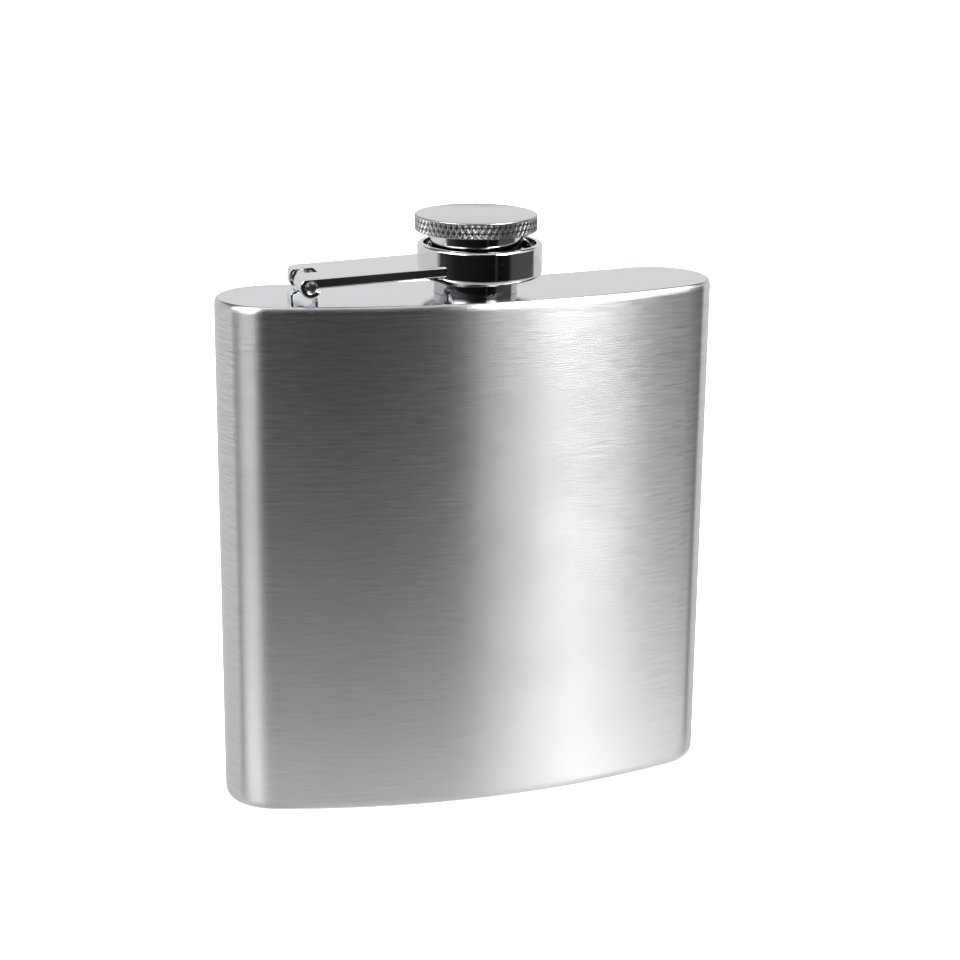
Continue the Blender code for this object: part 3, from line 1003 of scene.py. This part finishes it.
def make_world():
    """White for the camera. For reflections, a studio of pale and dark areas by direction.

    In front of the flask a dark room shows level with it, between a pale table below and the
    lights above, which are strips of different brightness. Behind it everything is pale.
    """
    world = bpy.data.worlds.new("studio")
    bpy.context.scene.world = world
    world.use_nodes = True
    tree = world.node_tree
    tree.nodes.clear()
    x, y, z = axes(tree, coordinates(tree, "Generated"))
    azimuth = combine(tree, "ARCTAN2", x, combine(tree, "MULTIPLY", y, -1.0))
    azimuth = spread(tree, azimuth, 0.0, 1.0, -math.pi, math.pi)
    elevation = combine(tree, "ARCSINE", z)
    elevation = spread(tree, elevation, 0.0, 1.0, -math.pi / 2, math.pi / 2)
    across = spread(tree, x, 0.0, 1.0, -1.0, 1.0)
    upper = scaled(tree, ramp(tree, across, sideways(UPPER_STRIPS)), UPPER_SCALE)
    shadow = ramp(tree, azimuth, turns(EDGE_SHADOW))
    upper = combine_vectors(tree, "MULTIPLY", upper, shadow)
    lower = ramp(tree, across, sideways(LOWER_STRIPS))
    front = ramp(tree, azimuth, turns(LEVEL_BAND))
    front = blend(tree, ramp(tree, elevation, heights(LOWER_EXTENT)), front, lower)
    front = blend(tree, ramp(tree, elevation, heights(UPPER_EXTENT)), front, upper)
    front = blend(tree, ramp(tree, elevation, heights(CEILING_EXTENT)), front, WHITE)
    back = ramp(tree, elevation, heights(BACK_BY_HEIGHT))
    studio = blend(tree, ramp(tree, azimuth, turns(BACK_EXTENT)), front, back)
    seen = add(tree, "ShaderNodeLightPath").outputs["Is Camera Ray"]
    color = blend(tree, seen, studio, WHITE)
    background = add(tree, "ShaderNodeBackground", Strength=1.0)
    output = add(tree, "ShaderNodeOutputWorld")
    tree.links.new(color, background.inputs["Color"])
    tree.links.new(background.outputs["Background"], output.inputs["Surface"])


def plane(name, low, high, height):
    """A level rectangle between two corners."""
    corners = [(low[0], low[1]), (high[0], low[1]), (high[0], high[1]), (low[0], high[1])]
    return finish_mesh(name, [(x, y, height) for x, y in corners], [(0, 1, 2, 3)])


# The glow by the distance in metres from the line under the flask's middle.
TABLE_GLOW = [
    (0.024, 0.70),
    (0.042, 0.58),
    (0.068, 0.45),
    (0.098, 0.38),
    (0.137, 0.26),
    (0.173, 0.09),
    (0.208, 0.045),
    (0.3, 0.01),
    (0.38, 0.0),
]


def table_glow():
    """Light added over whatever lies behind, strongest beside the front of the flask."""
    made = bpy.data.materials.new("table_glow")
    made.use_nodes = True
    tree = made.node_tree
    tree.nodes.clear()
    x, y, _ = axes(tree, coordinates(tree))
    beside = combine(tree, "SUBTRACT", combine(tree, "ABSOLUTE", x), END_X * MM)
    beside = combine(tree, "MAXIMUM", beside, 0.0)
    beside_squared = combine(tree, "MULTIPLY", beside, beside)
    ahead_squared = combine(tree, "MULTIPLY", y, y)
    away = combine(tree, "ADD", beside_squared, ahead_squared)
    away = combine(tree, "POWER", away, 0.5)
    level = ramp(tree, away, TABLE_GLOW)
    level = combine(tree, "MULTIPLY", level, spread(tree, y, 1.0, 0.0, -0.01, -0.002))
    glow = add(tree, "ShaderNodeEmission")
    tree.links.new(level, glow.inputs["Strength"])
    clear = add(tree, "ShaderNodeBsdfTransparent")
    both = add(tree, "ShaderNodeAddShader")
    output = add(tree, "ShaderNodeOutputMaterial")
    tree.links.new(glow.outputs["Emission"], both.inputs[0])
    tree.links.new(clear.outputs["BSDF"], both.inputs[1])
    tree.links.new(both.outputs["Shader"], output.inputs["Surface"])
    return made


FLOOR_REACH = 4000
FLOOR_COLOR = (0.93, 0.93, 0.93)
GLOW_REACH = 400
GLOW_HEIGHT = -0.2  # just under the floor, which reflections don't show


def make_stage():
    """A pale floor, and the glow of the table that only reflections show."""
    floor = plane("floor", (-FLOOR_REACH, -FLOOR_REACH), (FLOOR_REACH, FLOOR_REACH), 0.0)
    made, _, _ = start_material("floor_paper", FLOOR_COLOR, 0.9, 0.0)
    floor.data.materials.append(made)
    floor.visible_glossy = False
    glow = plane("table_glow", (-GLOW_REACH, -GLOW_REACH), (GLOW_REACH, 0), GLOW_HEIGHT)
    glow.data.materials.append(table_glow())
    glow.visible_camera = False
    glow.visible_diffuse = False
    glow.visible_shadow = False


def make_sun():
    """Soft light from above for the floor alone."""
    light = bpy.data.lights.new("overhead", "SUN")
    light.energy = 6.0
    light.angle = math.radians(80)
    made = bpy.data.objects.new("overhead", light)
    made.visible_glossy = False
    bpy.context.scene.collection.objects.link(made)


# The camera, with angles in degrees. It looks at the target from in front, turned to the left.
CAMERA_TARGET = (1.29, -1.683, 59.03)
CAMERA_AZIMUTH = -16.96
CAMERA_ELEVATION = 16.78
CAMERA_DISTANCE = 397.3
CAMERA_LENS = 80.7
CAMERA_ROLL = 0.64


def make_camera():
    """The camera, aimed at its target from its azimuth and elevation."""
    data = bpy.data.cameras.new("camera")
    data.lens = CAMERA_LENS
    data.clip_start = 0.01
    data.clip_end = 20.0
    turn, rise = math.radians(CAMERA_AZIMUTH), math.radians(CAMERA_ELEVATION)
    back = Vector(
        (math.sin(turn) * math.cos(rise), -math.cos(turn) * math.cos(rise), math.sin(rise))
    )
    made = bpy.data.objects.new("camera", data)
    aim = (-back).to_track_quat("-Z", "Y").to_matrix().to_4x4()
    place = Matrix.Translation((Vector(CAMERA_TARGET) + back * CAMERA_DISTANCE) * MM)
    made.matrix_world = place @ aim @ Matrix.Rotation(math.radians(CAMERA_ROLL), 4, "Z")
    bpy.context.scene.collection.objects.link(made)
    bpy.context.scene.camera = made


# ---------------------------------------------------------------- scene


def dress(made, look, body, node):
    """Gives a piece its material, hides the CAD node it stands for, and hangs it on its body."""
    made.data.materials.clear()
    made.data.materials.append(look)
    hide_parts(node)
    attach(made, body)


def main():
    """Makes the materials, the pieces and then everything round them."""
    brushed = brushed_steel()
    polished = polished_steel("polished_plate", PLATE_COLOR, 0.10)
    bright = polished_steel("bright_steel", BRIGHT_COLOR, 0.05)
    knurled = knurled_steel()
    steel = polished_steel("pin_steel", PIN_COLOR, 0.25)
    # the neck's material carries painted shade, for the shade under the collar
    shaded_neck_steel = polished_steel("neck_steel_painted_shade", NECK_SHADED_COLOR, 0.08)
    plastic = seal_plastic()

    dress(shell_piece(), brushed, "flask", "body_shell")
    dress(bottom_plate_piece(), polished, "flask", "bottom_plate")
    dress(top_plate_piece(), polished, "flask", "top_plate")
    dress(neck_piece(), shaded_neck_steel, "flask", "neck")
    dress(bracket_piece(), polished, "flask", "hinge_bracket")
    dress(arm_piece(), bright, "arm", "cap_arm")
    dress(pin_piece(), steel, "arm", "hinge_pin")
    bore = SLEEVE_RADIUS + PRESS_GAP
    washer = ring_piece("washer", "cap_washer", bore, WASHER_RADIUS, WASHER_EDGE)
    dress(washer, steel, "retainer", "cap_washer")
    dress(head_piece(), knurled, "cap", "cap_head")
    dress(sleeve_piece(), bright, "cap", "cap_sleeve")
    seal = ring_piece("seal", "cap_seal", 0.0, SEAL_RADIUS, SEAL_EDGE)
    dress(seal, plastic, "cap", "cap_seal")

    make_world()
    make_stage()
    make_sun()
    make_camera()
    bpy.context.scene.view_settings.view_transform = "Standard"


main()
